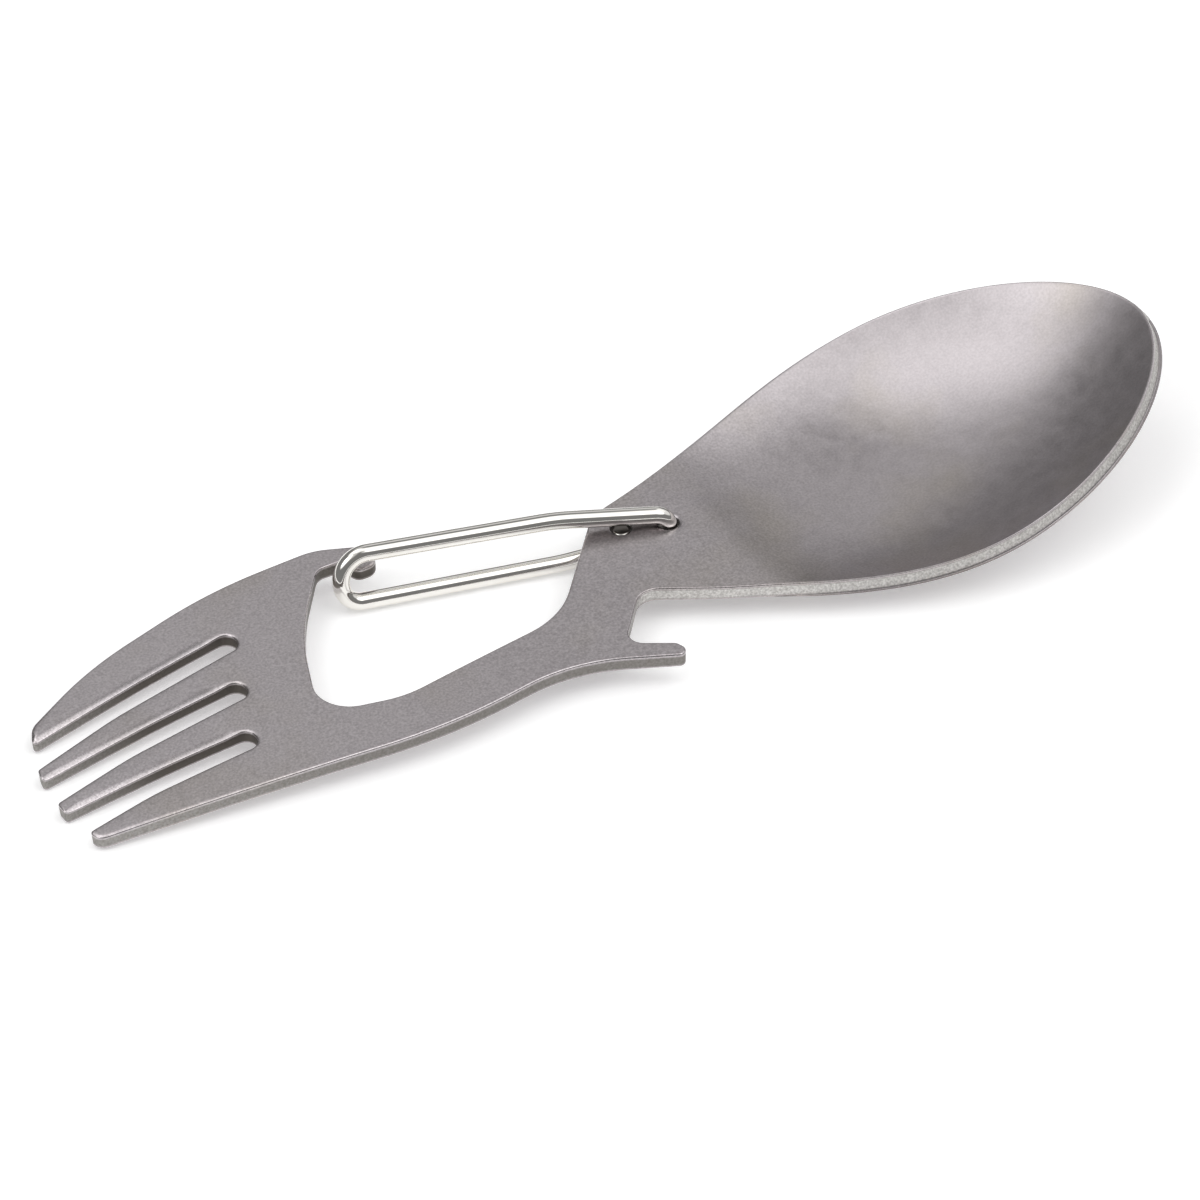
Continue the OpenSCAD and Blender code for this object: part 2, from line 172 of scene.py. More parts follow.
# %% Tines and slots
FORK_REACH, FORK_TIP_R, FORK_TIP_Y = 78.0, 28.0, -4.4
FORK_NEAR_W, FORK_FAR_W, FORK_CORNER_R = 10.2, 12.1, 3.0
TINE_TIP_R, TINE_BULGE, BULGE_SHARE, BULGE_R = 0.5, 0.6, 0.62, 40.0
SLOT_BOW, BOW_SHARES, BOW_R = 0.2, (0.12, 0.45), 60.0
SLOT_COUNT, SLOT_WEB, SLOT_STAGGER = 3, 3.0, 2.7
SLOT_ROOT_W, SLOT_ROOT_PITCH, SLOT_ROOT_Y = 3.3, 8.7, 0.45
SLOT_TIP_W, SLOT_TIP_PITCH, SLOT_TIP_Y = 4.6, 6.6, -3.95
EYE_CORNER = (-44.0, -8.6, 5.0)


def tine_tip(y):
    """Point on the arc that all the tine tips lie on."""
    return np.array((-FORK_REACH + FORK_TIP_R - math.sqrt(FORK_TIP_R ** 2 - (y - FORK_TIP_Y) ** 2), y))


def slot(i):
    """Corners of one slot, from its near corner at the tips round its root to its far corner."""
    step = i - (SLOT_COUNT - 1) / 2
    root = np.array((EYE_CORNER[0] - SLOT_WEB - i * SLOT_STAGGER, SLOT_ROOT_Y - step * SLOT_ROOT_PITCH))
    tip_y = SLOT_TIP_Y - step * SLOT_TIP_PITCH
    along = unit(root - tine_tip(tip_y))
    across = np.array((-along[1], along[0]))
    near_tip, far_tip = tine_tip(tip_y - SLOT_TIP_W / 2), tine_tip(tip_y + SLOT_TIP_W / 2)
    near_root, far_root = root - across * SLOT_ROOT_W / 2, root + across * SLOT_ROOT_W / 2
    bulge = near_root + BULGE_SHARE * (near_tip - near_root) + across * TINE_BULGE
    bow = []
    for share in BOW_SHARES:
        point = far_root + share * (far_tip - far_root) + across * SLOT_BOW * 4 * share * (1 - share)
        bow.append((*point, BOW_R, "tine_near"))
    return [(*near_tip, TINE_TIP_R, "tine_end"), (*bulge, BULGE_R, "tine_far"),
            (*near_root, SLOT_ROOT_W / 2, "slot_root"), (*far_root, SLOT_ROOT_W / 2, "slot_root"),
            *bow, (*far_tip, TINE_TIP_R, "tine_tip")]


tines = [(*tine_tip(FORK_TIP_Y - FORK_NEAR_W), FORK_CORNER_R, "fork_corner")]
for i in reversed(range(SLOT_COUNT)):
    tines += slot(i)
tines += [(*tine_tip(FORK_TIP_Y + FORK_FAR_W), FORK_CORNER_R, "fork_corner")]
print("tines: %d corners" % len(tines))

# %% Opener, hook and eye
SEAT_Y, HOOK_W, NOSE_LEFT, NOSE_W, NOSE_DROP, NOSE_H = 15.8, 3.7, -28.65, 3.6, 2.7, 4.05
nose_right, nose_y = NOSE_LEFT + NOSE_W, SEAT_Y - NOSE_DROP
neck = [(9.6, -10.9, 25), (1.3, -6.7, 3)]
lug = [(-5.1, -15, 1.9), (0.5, -17.9, 1), (1.1, -19.3, 1), (0.3, -20.4, 1)]
bridge = [(-12.5, -15.2, 25), (-31, -18.6, 70)]
hook = [(-64.9, 13.55, 86), (-46.5, 18.75, 86), (-31.5, SEAT_Y + HOOK_W, 9)]
nose = [(nose_right, nose_y + NOSE_H, 2.2), (nose_right, nose_y, 1.7), (NOSE_LEFT, nose_y, 1.3)]
seat = [(NOSE_LEFT, SEAT_Y, 0.5), (-32.6, SEAT_Y, 2)]
eye = [(-39.6, 5.6, 50), EYE_CORNER, (-33.5, -10.9, 14), (-9.8, -6.8, 13), (*NECK_FAR, 3)]


def of_kind(kind, bends):
    """Corners, each a place and a radius, with one kind of edge."""
    return [(*bend, kind) for bend in bends]


corners = of_kind("rim", neck) + of_kind("outside", lug + bridge) + tines + of_kind("outside", hook)
corners += of_kind("nose", nose) + of_kind("seat", seat) + of_kind("outside", eye)
print("outline: %d corners" % len(corners))

# %% [markdown]
# The corners and the spoon's curves make one closed loop, clockwise seen from above, so the steel
# lies to the right of the way along it. Long stretches get points in between, and the values of
# the edges are carried along and smoothed, so that one kind of edge runs softly into the next.
# The blunt ends of the tines, which lie on the arc of the tips, get a kind of edge of their own.

# %% One loop, evenly stepped
EDGE_STEP = 0.45
EDGE_SMOOTHING = 5
TINE_END_DEEP = 0.35
SAME_POINT = 0.02


def step_evenly(points, values):
    """Adds points on long stretches of a closed loop, and carries each point's values along."""
    out, out_values = [], []
    for i in range(len(points)):
        a, b = points[i], points[(i + 1) % len(points)]
        n = max(1, math.ceil(np.linalg.norm(b - a) / EDGE_STEP))
        for k in range(n):
            out.append(a + (b - a) * k / n)
            out_values.append(values[i] + (values[(i + 1) % len(points)] - values[i]) * k / n)
    return np.array(out), np.array(out_values)


ends = [tuple(near_side[-1]), *corners, tuple(flare[1])]
arcs = [round_corner(*ends[i - 1:i + 2]) for i in range(1, len(ends) - 1)]
kinds = [np.tile(EDGES[corner[3]], (len(arc), 1)) for corner, arc in zip(corners, arcs)]
plain = [np.tile(EDGES["rim"], (len(side), 1)) for side in (near_side, far_side[:-1])]
loop = np.concatenate([near_side, *arcs, far_side[:-1]])
edge = np.concatenate([plain[0], *kinds, plain[1]])
apart = np.linalg.norm(loop - np.roll(loop, 1, axis=0), axis=1) > SAME_POINT
loop, edge = step_evenly(loop[apart], edge[apart])
from_arc = FORK_TIP_R - np.hypot(loop[:, 0] + FORK_REACH - FORK_TIP_R, loop[:, 1] - FORK_TIP_Y)
between = np.abs(loop[:, 1] - FORK_TIP_Y) < FORK_NEAR_W - FORK_CORNER_R
edge[(loop[:, 0] < EYE_CORNER[0]) & (from_arc < TINE_END_DEEP) & between] = EDGES["tine_end"]
for _ in range(EDGE_SMOOTHING):
    edge = (np.roll(edge, 1, axis=0) + edge + np.roll(edge, -1, axis=0)) / 3
print("outline: %d points" % len(loop))

# %% Hinge holes
HOLE_R, HOLE_SIDES = 1.4, 72
hole_angles = np.linspace(0, 2 * math.pi, HOLE_SIDES, endpoint=False)
hole_circle = HOLE_R * np.stack([np.cos(hole_angles), np.sin(hole_angles)], 1)
loops = [(loop, edge)]
for middle, kind in (((10.8, 3.2), "worn_hole"), ((4.9, 4.9), "hole")):
    loops.append((np.array(middle) + hole_circle, np.tile(EDGES[kind], (HOLE_SIDES, 1))))
print("edge loops:", [len(points) for points, kind in loops])

# %% [markdown]
# ## The pressed form
# Pressing gives every point of the flat blank a height. The fork bends down on a wide arc, the
# neck stays flat, and the bowl sinks below a rim that climbs towards the tip. One function gives
# the height of the upper face at (x, y), and its slope gives the direction square to the sheet.
# The lower face lies one sheet thickness away in that direction, so the wall is even everywhere.

# %% Height of the bowl
SHEET_T = 2.0
BOWL_DEEP_X, BOWL_DEPTH, PRESS_BLEND = 54.5, 5.5, 5.0
BACK_POWER, FRONT_POWER, FLOOR_POWER, NECK_POWER = 1.85, 2.35, 2.0, 3.2
RIM_DELAY, RIM_BLEND, RIM_RISE = 7.6, 28.0, 12.3
HEIGHT_SAMPLES = 3000
rim_x, back_l = PRESS_X + RIM_DELAY, BOWL_DEEP_X - PRESS_X
rim_slope = RIM_RISE / (SPOON_REACH - rim_x - RIM_BLEND / 2)


def bowl_height(x, share):
    """Height over the neck at x, and at a share of the spoon's half width."""
    d = np.maximum(x - rim_x, 0)
    rim = np.where(d < RIM_BLEND, rim_slope * d * d / (2 * RIM_BLEND), rim_slope * (d - RIM_BLEND / 2))
    inside_l = np.clip(x - PRESS_X, 0, back_l)
    eased = np.where(inside_l < PRESS_BLEND, inside_l ** 2 / (2 * PRESS_BLEND), inside_l - PRESS_BLEND / 2)
    back = 1 - (1 - eased / (back_l - PRESS_BLEND / 2)) ** BACK_POWER
    ahead = np.clip((x - BOWL_DEEP_X) / (SPOON_REACH - BOWL_DEEP_X), 0, 1)
    dip = BOWL_DEPTH * np.where(x < BOWL_DEEP_X, back, 1 - ahead ** FRONT_POWER)
    power = NECK_POWER + (FLOOR_POWER - NECK_POWER) * inside_l / back_l
    return rim - dip * (1 - np.clip(np.abs(share), 0, 1) ** power)


neck_z = -bowl_height(np.linspace(PRESS_X, SPOON_REACH, HEIGHT_SAMPLES), 0).min()
top_z = neck_z + SHEET_T
print("neck %.2f mm over the table" % neck_z)

# %% Height and direction of the whole sheet
BEND_X, SLOPE_STEP, LEAST_HALF_W = -16.0, 0.05, 0.3
tine_length = FORK_REACH + BEND_X
bend_r = (tine_length ** 2 + neck_z ** 2) / (2 * neck_z) + SHEET_T


def top_height(x, y):
    """Height of the upper face over the table at plan points."""
    bend = bend_r - np.sqrt(bend_r ** 2 - np.maximum(BEND_X - x, 0) ** 2)
    half = np.maximum(np.interp(x, half_outline[:, 0], half_outline[:, 1]), LEAST_HALF_W)
    return top_z - bend + bowl_height(x, y / half)


def square_to_sheet(x, y):
    """Unit vectors square to the upper face, from the slopes along X and Y."""
    inner_x = np.minimum(x, SPOON_REACH - 2 * SLOPE_STEP)
    dx = top_height(inner_x + SLOPE_STEP, y) - top_height(inner_x - SLOPE_STEP, y)
    dy = top_height(inner_x, y + SLOPE_STEP) - top_height(inner_x, y - SLOPE_STEP)
    n = np.stack([-dx, -dy, np.full_like(dx, 2 * SLOPE_STEP)], 1)
    return n / np.linalg.norm(n, axis=1)[:, None]


print("fork bend radius %.0f mm" % bend_r)

# %% [markdown]
# ## The sheet as one closed mesh
# Rings of points follow every edge: in from the edge over both faces, round two small corners and
# down the sheared wall. A roll is a parabola that starts level and is steepest at the edge. Where
# rolls meet, as on a tine's tip, the deepest one counts, so the drop of a face at any point is the
# largest that any stretch of edge asks for.

# %% Drop of the rolled faces
PART_SIZE = 150
from_points = np.concatenate([points for points, kind in loops])
stretch = np.concatenate([np.roll(points, -1, axis=0) for points, kind in loops]) - from_points
from_edge = np.concatenate([kind for points, kind in loops])
edge_change = np.concatenate([np.roll(kind, -1, axis=0) for points, kind in loops]) - from_edge


def in_parts(points):
    """The points in parts, each small enough to compare with every stretch of edge at once."""
    return np.array_split(points, max(1, len(points) // PART_SIZE))


def corner_angle(width, drop):
    """Tilt of a roll where it meets the small corner to the wall."""
    return np.arctan(2 * drop / width)


def face_drop(points, side):
    """Drop of the upper or the lower face at plan points, by the rolls of all the edges."""
    drops = []
    for part in in_parts(points):
        away = part[:, None] - from_points
        t = np.clip((away * stretch).sum(2) / (stretch ** 2).sum(1), 0, 1)
        distance = np.linalg.norm(away - t[..., None] * stretch, axis=2)
        width, drop, radius = (from_edge[:, side + k] + t * edge_change[:, side + k] for k in range(3))
        start = radius * (1 - np.sin(corner_angle(width, drop)))
        drops.append((drop * np.clip(1 - (distance - start) / width, 0, 1) ** 2).max(1))
    return np.concatenate(drops)


print("stretches of edge:", len(stretch))

# %% Rings along every edge
BAND_W, BAND_STEPS, CORNER_STEPS, WALL_STEPS = 0.3, 6, 6, 5
ROLL_SHOWN = 0.12
plan, depth_of, rolled, walls, wall_light_paint, faces = [], [], [], [], [], []
inner_rings, outer_rings = [], []


def inward(points):
    """Unit vectors into the steel, which lies to the right of the loop's direction."""
    ahead = np.roll(points, -1, axis=0) - points
    ahead /= np.linalg.norm(ahead, axis=1)[:, None]
    along = ahead + np.roll(ahead, 1, axis=0)
    along /= np.linalg.norm(along, axis=1)[:, None]
    return np.stack([along[:, 1], -along[:, 0]], 1)


def add_points(points, depth, roll_share=0.0, wall_share=0.0, light_paint_share=0.0):
    """Adds plan points at a depth below the upper face, and returns their numbers."""
    start = sum(len(p) for p in plan)
    plan.append(points)
    for values, value in ((depth_of, depth), (rolled, roll_share), (walls, wall_share),
                          (wall_light_paint, light_paint_share)):
        values.append(np.broadcast_to(value, len(points)))
    return np.arange(start, start + len(points))


def edge_rows(points, kind, side):
    """Plan points, drops and roll shares of one face's edge, from the face out to the wall."""
    width, drop, radius = kind[:, side:side + 3].T
    into, angle = inward(points), corner_angle(width, drop)
    rows = []
    for share in np.linspace(1, 0, BAND_STEPS):
        row = points + into * (radius * (1 - np.sin(angle)) + BAND_W * share)[:, None]
        drop = face_drop(row, side)
        rows.append((row, drop, np.clip(drop / ROLL_SHOWN, 0, 1)))
    for k in range(1, CORNER_STEPS + 1):
        turn = angle + (math.pi / 2 - angle) * k / CORNER_STEPS
        row = points + into * (radius * (1 - np.sin(turn)))[:, None]
        rows.append((row, drop + radius * (np.cos(angle) - np.cos(turn)), 1.0))
    return rows


for points, kind in loops:
    upper, lower = edge_rows(points, kind, UPPER), edge_rows(points, kind, LOWER)
    rings = [add_points(row, drop, share) for row, drop, share in upper]
    wall_top, wall_end = upper[-1][1], SHEET_T - lower[-1][1]
    for k in range(1, WALL_STEPS + 1):
        wall_depth = wall_top + (wall_end - wall_top) * k / (WALL_STEPS + 1)
        # Wall rings take their edge's share of painted light and shade.
        rings.append(add_points(points, wall_depth, 0.0, 1.0, kind[:, PAINTED_LIGHT]))
    rings += [add_points(row, SHEET_T - drop, share) for row, drop, share in reversed(lower)]
    for a, b in zip(rings, rings[1:]):
        faces += zip(a, np.roll(a, -1), np.roll(b, -1), b)
    inner_rings.append(rings[0])
    outer_rings.append(rings[-1])
print("rings: %d faces" % len(faces))

# %% [markdown]
# Inside the innermost rings, points are joined up by a Delaunay triangulation, once for the upper
# face and once, turned over, for the lower one. A grid is enough for the flat and the bowl. Over a
# wide roll, rows of points run along the edge instead, so that the roll shades evenly.

# %% Points on the faces
GRID = 1.1
ROLL_ROWS, WIDER_ROLL = (0.6, 0.85, 1.15, 1.5), 0.2
ROW_KEPT, ROW_APART, GRID_APART = 0.96, 0.2, 0.55
ring_xy = np.concatenate(plan)
inner = np.concatenate([ring_xy[ring] for ring in inner_rings])


def nearest(points, others):
    """Distance from each point to the nearest of the others."""
    return np.concatenate([np.min(np.linalg.norm(part[:, None] - others, axis=2), axis=1)
                           for part in in_parts(points)])


def inside(points, polygon):
    """True for the points inside a closed polygon, by counting crossings to the right."""
    a, b = polygon, np.roll(polygon, -1, axis=0)
    y = points[:, 1][:, None]
    crosses = (a[:, 1] > y) != (b[:, 1] > y)
    rise = np.where(b[:, 1] == a[:, 1], 1, b[:, 1] - a[:, 1])
    at = a[:, 0] + (y - a[:, 1]) / rise * (b[:, 0] - a[:, 0])
    return (crosses & (points[:, 0][:, None] < at)).sum(1) % 2 == 1


seeds = inner
wide = edge[:, UPPER] > BAND_W + WIDER_ROLL
for row_inset in ROLL_ROWS:
    row = (loop + inward(loop) * row_inset)[wide]
    row = row[inside(row, ring_xy[inner_rings[0]])]
    kept = (nearest(row, from_points) > ROW_KEPT * row_inset) & (nearest(row, seeds) > ROW_APART)
    seeds = np.concatenate([seeds, row[kept]])
low, high = inner.min(0), inner.max(0)
rows = np.arange(low[1], high[1], GRID * math.sqrt(3) / 2)
grid = np.array([(x, y) for i, y in enumerate(rows)
                 for x in np.arange(low[0] + GRID / 2 * (i % 2), high[0], GRID)])
grid = grid[inside(grid, ring_xy[inner_rings[0]])]
for ring in inner_rings[1:]:
    grid = grid[~inside(grid, ring_xy[ring])]
seeds = np.concatenate([seeds, grid[nearest(grid, seeds) > GRID_APART * GRID]])
print("points on a face: %d, of which on its edge: %d" % (len(seeds), len(inner)))

# %% Upper and lower face
INSIDE_ONLY, SAME_PLACE = 1, 1e-5
edges, start = [], 0
for ring in inner_rings:
    n = len(ring)
    edges += [(start + i, start + (i + 1) % n) for i in range(n)]
    start += n
found = delaunay_2d_cdt([Vector(p) for p in seeds], edges, [], INSIDE_ONLY, SAME_PLACE)
made_from = [origin[0] for origin in found[3]]
triangles = np.array([[made_from[v] for v in f] for f in found[2]])
middles = seeds[triangles].mean(1)
for ring in inner_rings[1:]:
    triangles, middles = (x[~inside(middles, ring_xy[ring])] for x in (triangles, middles))
a, b, c = (seeds[triangles[:, k]] for k in range(3))
turned = (b[:, 0] - a[:, 0]) * (c[:, 1] - a[:, 1]) < (b[:, 1] - a[:, 1]) * (c[:, 0] - a[:, 0])
triangles[turned] = triangles[turned][:, ::-1]
free = seeds[len(inner):]
drop = face_drop(free, UPPER)
top_ids = np.concatenate([*inner_rings, add_points(free, drop, np.clip(drop / ROLL_SHOWN, 0, 1))])
under_ids = np.concatenate([*outer_rings, add_points(free, SHEET_T - face_drop(free, LOWER))])
faces += [*map(tuple, top_ids[triangles]), *map(tuple, under_ids[triangles][:, ::-1])]
faces = [tuple(int(v) for v in f) for f in faces]
print("faces:", len(faces), "of which triangles on each side:", len(triangles))

# %% Press the blank into shape
CENTRE_X = 0.6866
flat = np.concatenate(plan)
depth = np.concatenate(depth_of)
x, y = flat[:, 0], flat[:, 1]
pressed = np.stack([x - CENTRE_X, y, top_height(x, y)], 1) - square_to_sheet(x, y) * depth[:, None]
sheet_mesh = bpy.data.meshes.new("steel_sheet")
sheet_mesh.from_pydata((pressed * MM).tolist(), [], faces)
# The last attribute carries the painted light and shade of the walls.
for name, values in (("rolled", rolled), ("sheared", walls), ("painted_wall_light", wall_light_paint)):
    layer = sheet_mesh.attributes.new(name, "FLOAT", "POINT")
    layer.data.foreach_set("value", np.concatenate(values).astype(np.float32))
sheet_mesh.shade_smooth()
sheet = bpy.data.objects.new("steel_sheet", sheet_mesh)
bpy.context.scene.collection.objects.link(sheet)
print("sheet: %d points, valid: %s" % (len(flat), not sheet_mesh.validate()))

# %% [markdown]
# ## The wire gate
# The gate is one springy wire. Its two ends sit in two holes a few millimetres apart, and that
# offset is what springs it shut. In the CAD model the wire is cut once in its lower leg, because
# each end turns on a hole of its own, so it is drawn here as two pieces. The lower one is a hair
# slimmer and runs on for a little way inside the upper one, which hides the cut. The middle line
# of each piece is a short list of bends; Geometry Nodes sweep a circle along it.

# %% Middle line of a bent wire
BEND_STEP = math.radians(3)


def bend_points(before, bend, after):
    """Points of the arc at one bend (x, y, z, radius) between its neighbours."""
    p, c, n = (np.array(q[:3]) for q in (before, bend, after))
    arrive, leave = unit(c - p), unit(n - c)
    half = math.acos(np.clip(-arrive @ leave, -1, 1)) / 2
    middle = c + unit(leave - arrive) * bend[3] / math.sin(half)
    out = unit(c - arrive * bend[3] / math.tan(half) - middle)
    sweep = math.pi - 2 * half
    turns = np.linspace(0, sweep, max(3, math.ceil(sweep / BEND_STEP)) + 1)[:, None]
    return middle + bend[3] * (np.cos(turns) * out + np.sin(turns) * arrive)


def wire_line(bends):
    """The middle line through a start, some bends and an end."""
    arcs = [bend_points(*bends[i - 1:i + 2]) for i in range(1, len(bends) - 1)]
    return np.concatenate([np.array(bends[0][:3])[None], *arcs, np.array(bends[-1][:3])[None]])


# %% Bends of the gate
WIRE_D, TABLE_CLEAR, LEG_CLEAR, NOSE_CLEAR_UP, PIN_SHORT = 2.3, 0.1, 0.05, 1.3, 0.2
HINGE_A, HINGE_B, PIN_BEND_R = (10.8, 3.2), (4.9, 4.9), 1.9
UPPER_BEND, UPPER_BEND_SHARE, LOWER_BEND, LEG_BEND_R = (-3, 7.9), 0.7, (-3, 6.2), 30.0
LOOP_END, LOOP_LEAN, LOOP_LOW_R, LOOP_STRAIGHT = (-30.7, 12.75), 2.0, 2.5, 0.02
SPLIT_X, SPLIT_CLEAR, STUB_L = -23, 0.2, 1.2
upper_hinge_z, upper_loop_z = top_z + LEG_CLEAR + WIRE_D / 2, top_z + NOSE_CLEAR_UP + WIRE_D / 2
lower_hinge_z, lower_loop_z = neck_z - LEG_CLEAR - WIRE_D / 2, TABLE_CLEAR + WIRE_D / 2
upper_bend_z = upper_hinge_z + UPPER_BEND_SHARE * (upper_loop_z - upper_hinge_z)
loop_top_r = upper_loop_z - lower_loop_z - LOOP_LOW_R - LOOP_STRAIGHT
upper_loop = (LOOP_END[0], LOOP_END[1] + LOOP_LEAN / 2, upper_loop_z, loop_top_r)
lower_loop = (LOOP_END[0], LOOP_END[1] - LOOP_LEAN / 2, lower_loop_z, LOOP_LOW_R)


def lower_leg(at_x):
    """Point of the lower leg, which runs straight and level from the loop to its bend."""
    s = (at_x - lower_loop[0]) / (LOWER_BEND[0] - lower_loop[0])
    return (at_x, lower_loop[1] + s * (LOWER_BEND[1] - lower_loop[1]), lower_loop_z)


upper_line = wire_line([
    (*HINGE_A, neck_z + PIN_SHORT), (*HINGE_A, upper_hinge_z, PIN_BEND_R),
    (*UPPER_BEND, upper_bend_z, LEG_BEND_R), upper_loop, lower_loop, lower_leg(SPLIT_X + SPLIT_CLEAR)])
lower_line = wire_line([
    (*HINGE_B, top_z - PIN_SHORT), (*HINGE_B, lower_hinge_z, PIN_BEND_R),
    (*LOWER_BEND, lower_loop_z, LEG_BEND_R), lower_leg(SPLIT_X - STUB_L)])
length = sum(np.linalg.norm(np.diff(line, axis=0), axis=1).sum() for line in (upper_line, lower_line))
print("wire: %.1f mm long in all" % (length - STUB_L))

# %% [markdown]
# The tree takes a bare line of points as a mesh, turns it into a curve and sweeps a circle along
# it. Its inputs are the wire's diameter, the number of sides and the material. A value on each
# point scales the circle, which rounds the cut ends off.

# %% A node tree that sweeps a wire
def add_node(tree, kind, links=None, **settings):
    """Adds a node, sets its properties, and sets or links its inputs by name or number."""
    node = tree.nodes.new(kind)
    for name, value in settings.items():
        setattr(node, name, value)
    for name, value in (links or {}).items():
        socket = node.inputs[name]
        if isinstance(value, bpy.types.NodeSocket):
            tree.links.new(value, socket)
        else:
            socket.default_value = value
    return node


sweep = bpy.data.node_groups.new("sweep_wire", "GeometryNodeTree")
for name, kind in (("Line", "NodeSocketGeometry"), ("Diameter", "NodeSocketFloat"),
                   ("Sides", "NodeSocketInt"), ("Material", "NodeSocketMaterial")):
    sweep.interface.new_socket(name, in_out="INPUT", socket_type=kind)
sweep.interface.new_socket("Wire", in_out="OUTPUT", socket_type="NodeSocketGeometry")
given = add_node(sweep, "NodeGroupInput")
radius = add_node(sweep, "ShaderNodeMath", {0: given.outputs["Diameter"], 1: 2.0}, operation="DIVIDE")
circle = add_node(sweep, "GeometryNodeCurvePrimitiveCircle",
                  {"Resolution": given.outputs["Sides"], "Radius": radius.outputs[0]})
curve = add_node(sweep, "GeometryNodeMeshToCurve", {"Mesh": given.outputs["Line"]})
taper = add_node(sweep, "GeometryNodeInputNamedAttribute", {"Name": "taper"}, data_type="FLOAT")
tube = add_node(sweep, "GeometryNodeCurveToMesh", {
    "Curve": curve.outputs[0], "Profile Curve": circle.outputs["Curve"],
    "Scale": taper.outputs["Attribute"], "Fill Caps": True})
smooth = add_node(sweep, "GeometryNodeSetShadeSmooth", {"Geometry": tube.outputs[0]})
real = add_node(sweep, "GeometryNodeRealizeInstances", {"Geometry": smooth.outputs[0]})
dressed = add_node(sweep, "GeometryNodeSetMaterial",
                   {"Geometry": real.outputs[0], "Material": given.outputs["Material"]})
add_node(sweep, "NodeGroupOutput", {"Wire": dressed.outputs[0]})
print("sweep tree: %d nodes" % len(sweep.nodes))

# %% [markdown]
# ## Finishes
# Colours are written as they look on a screen, as sRGB hex values, and one function turns them
# into the linear values that a renderer adds up. Patterns are sized in real millimetres.

# %% Colour helper
def linear(hex_colour):
    """sRGB hex value to linear red, green, blue and alpha."""
    parts = [int(hex_colour[i:i + 2], 16) / 255 for i in (1, 3, 5)]
    return [p / 12.92 if p <= 0.04045 else ((p + 0.055) / 1.055) ** 2.4 for p in parts] + [1.0]


def per_mm(size):
    """Texture scale at which one cell of a pattern is that many millimetres."""
    return 1 / (size * MM)


def new_material(name):
    """A metal with an empty finish: the material, its node tree and its shader."""
    material = bpy.data.materials.new(name)
    material.use_nodes = True
    tree = material.node_tree
    tree.nodes.clear()
    shader = add_node(tree, "ShaderNodeBsdfPrincipled", {"Metallic": 1.0})
    add_node(tree, "ShaderNodeOutputMaterial", {"Surface": shader.outputs[0]})
    return material, tree, shader


# %% [markdown]
# ### Bead-blasted stainless steel
# The sheet was blasted with fine glass beads, which leaves a dull, even satin: a metal with a wide
# highlight and a fine grain. Handling leaves faint cloudy patches and a little warm staining, and
# the steel is made a little lighter along the fork. The rolled edges are rubbed smoother. The
# sheared wall is rougher and grainy. Its colour is partly the lighter finish where beads reached it
# and partly painted light and shade: round the spoon and outside it is painted light, as if lit by
# the white table, and in the slots, the holes, the hook's seat and on the nose under the gate it is
# painted dark, as painted shade. The press burnishes the bowl, so the grain is weaker there. Beads
# are about 0.1 mm; the grain is drawn three times as coarse, so that it shows at all.

# %% Blasted steel
GRAIN_MM, CLOUD_MM, STAIN_MM = 0.3, 2.2, 14.0
LIGHTER_FROM, LIGHTER_TO, BURNISH_FROM, BURNISH_TO = -15, -55, 10, 45
NOISE_LOW, NOISE_HIGH, NECK_SPECKS, BOWL_SPECKS = 0.3, 0.7, 0.34, 0.14
STAIN_LOW, STAIN_HIGH, STAIN_MOST = 0.5, 0.75, 0.6
blasted, tree, shader = new_material("bead_blasted_stainless_steel")
place = add_node(tree, "ShaderNodeTexCoord").outputs["Object"]
along = add_node(tree, "ShaderNodeSeparateXYZ", {0: place}).outputs[0]
grain = add_node(tree, "ShaderNodeTexNoise", {
    "Vector": place, "Scale": per_mm(GRAIN_MM), "Detail": 2.0}).outputs[0]
cloud = add_node(tree, "ShaderNodeTexNoise", {
    "Vector": place, "Scale": per_mm(CLOUD_MM), "Detail": 4.0, "Roughness": 0.6}).outputs[0]
stain = add_node(tree, "ShaderNodeTexNoise", {
    "Vector": place, "Scale": per_mm(STAIN_MM), "Detail": 3.0}).outputs[0]
rubbed = add_node(tree, "ShaderNodeAttribute", attribute_name="rolled").outputs["Fac"]
torn = add_node(tree, "ShaderNodeAttribute", attribute_name="sheared").outputs["Fac"]
# How much each wall is painted light rather than painted shade.
wall_light = add_node(tree, "ShaderNodeAttribute", attribute_name="painted_wall_light").outputs["Fac"]
clouded = add_node(tree, "ShaderNodeMapRange", {"Value": cloud, 1: NOISE_LOW, 2: NOISE_HIGH}).outputs[0]
stained = add_node(tree, "ShaderNodeMapRange", {
    "Value": stain, 1: STAIN_LOW, 2: STAIN_HIGH, 4: STAIN_MOST}).outputs[0]
grained = add_node(tree, "ShaderNodeMapRange", {"Value": grain, 1: NOISE_LOW, 2: NOISE_HIGH}).outputs[0]
# The steel is made lighter along the fork, towards the tines.
fork_lightened = add_node(tree, "ShaderNodeMapRange", {
    "Value": along, 1: LIGHTER_FROM * MM, 2: LIGHTER_TO * MM}).outputs[0]
speckled = add_node(tree, "ShaderNodeMapRange", {
    "Value": along, 1: BURNISH_FROM * MM, 2: BURNISH_TO * MM, 3: NECK_SPECKS, 4: BOWL_SPECKS}).outputs[0]
print("blasted steel: %d nodes for its patterns" % len(tree.nodes))

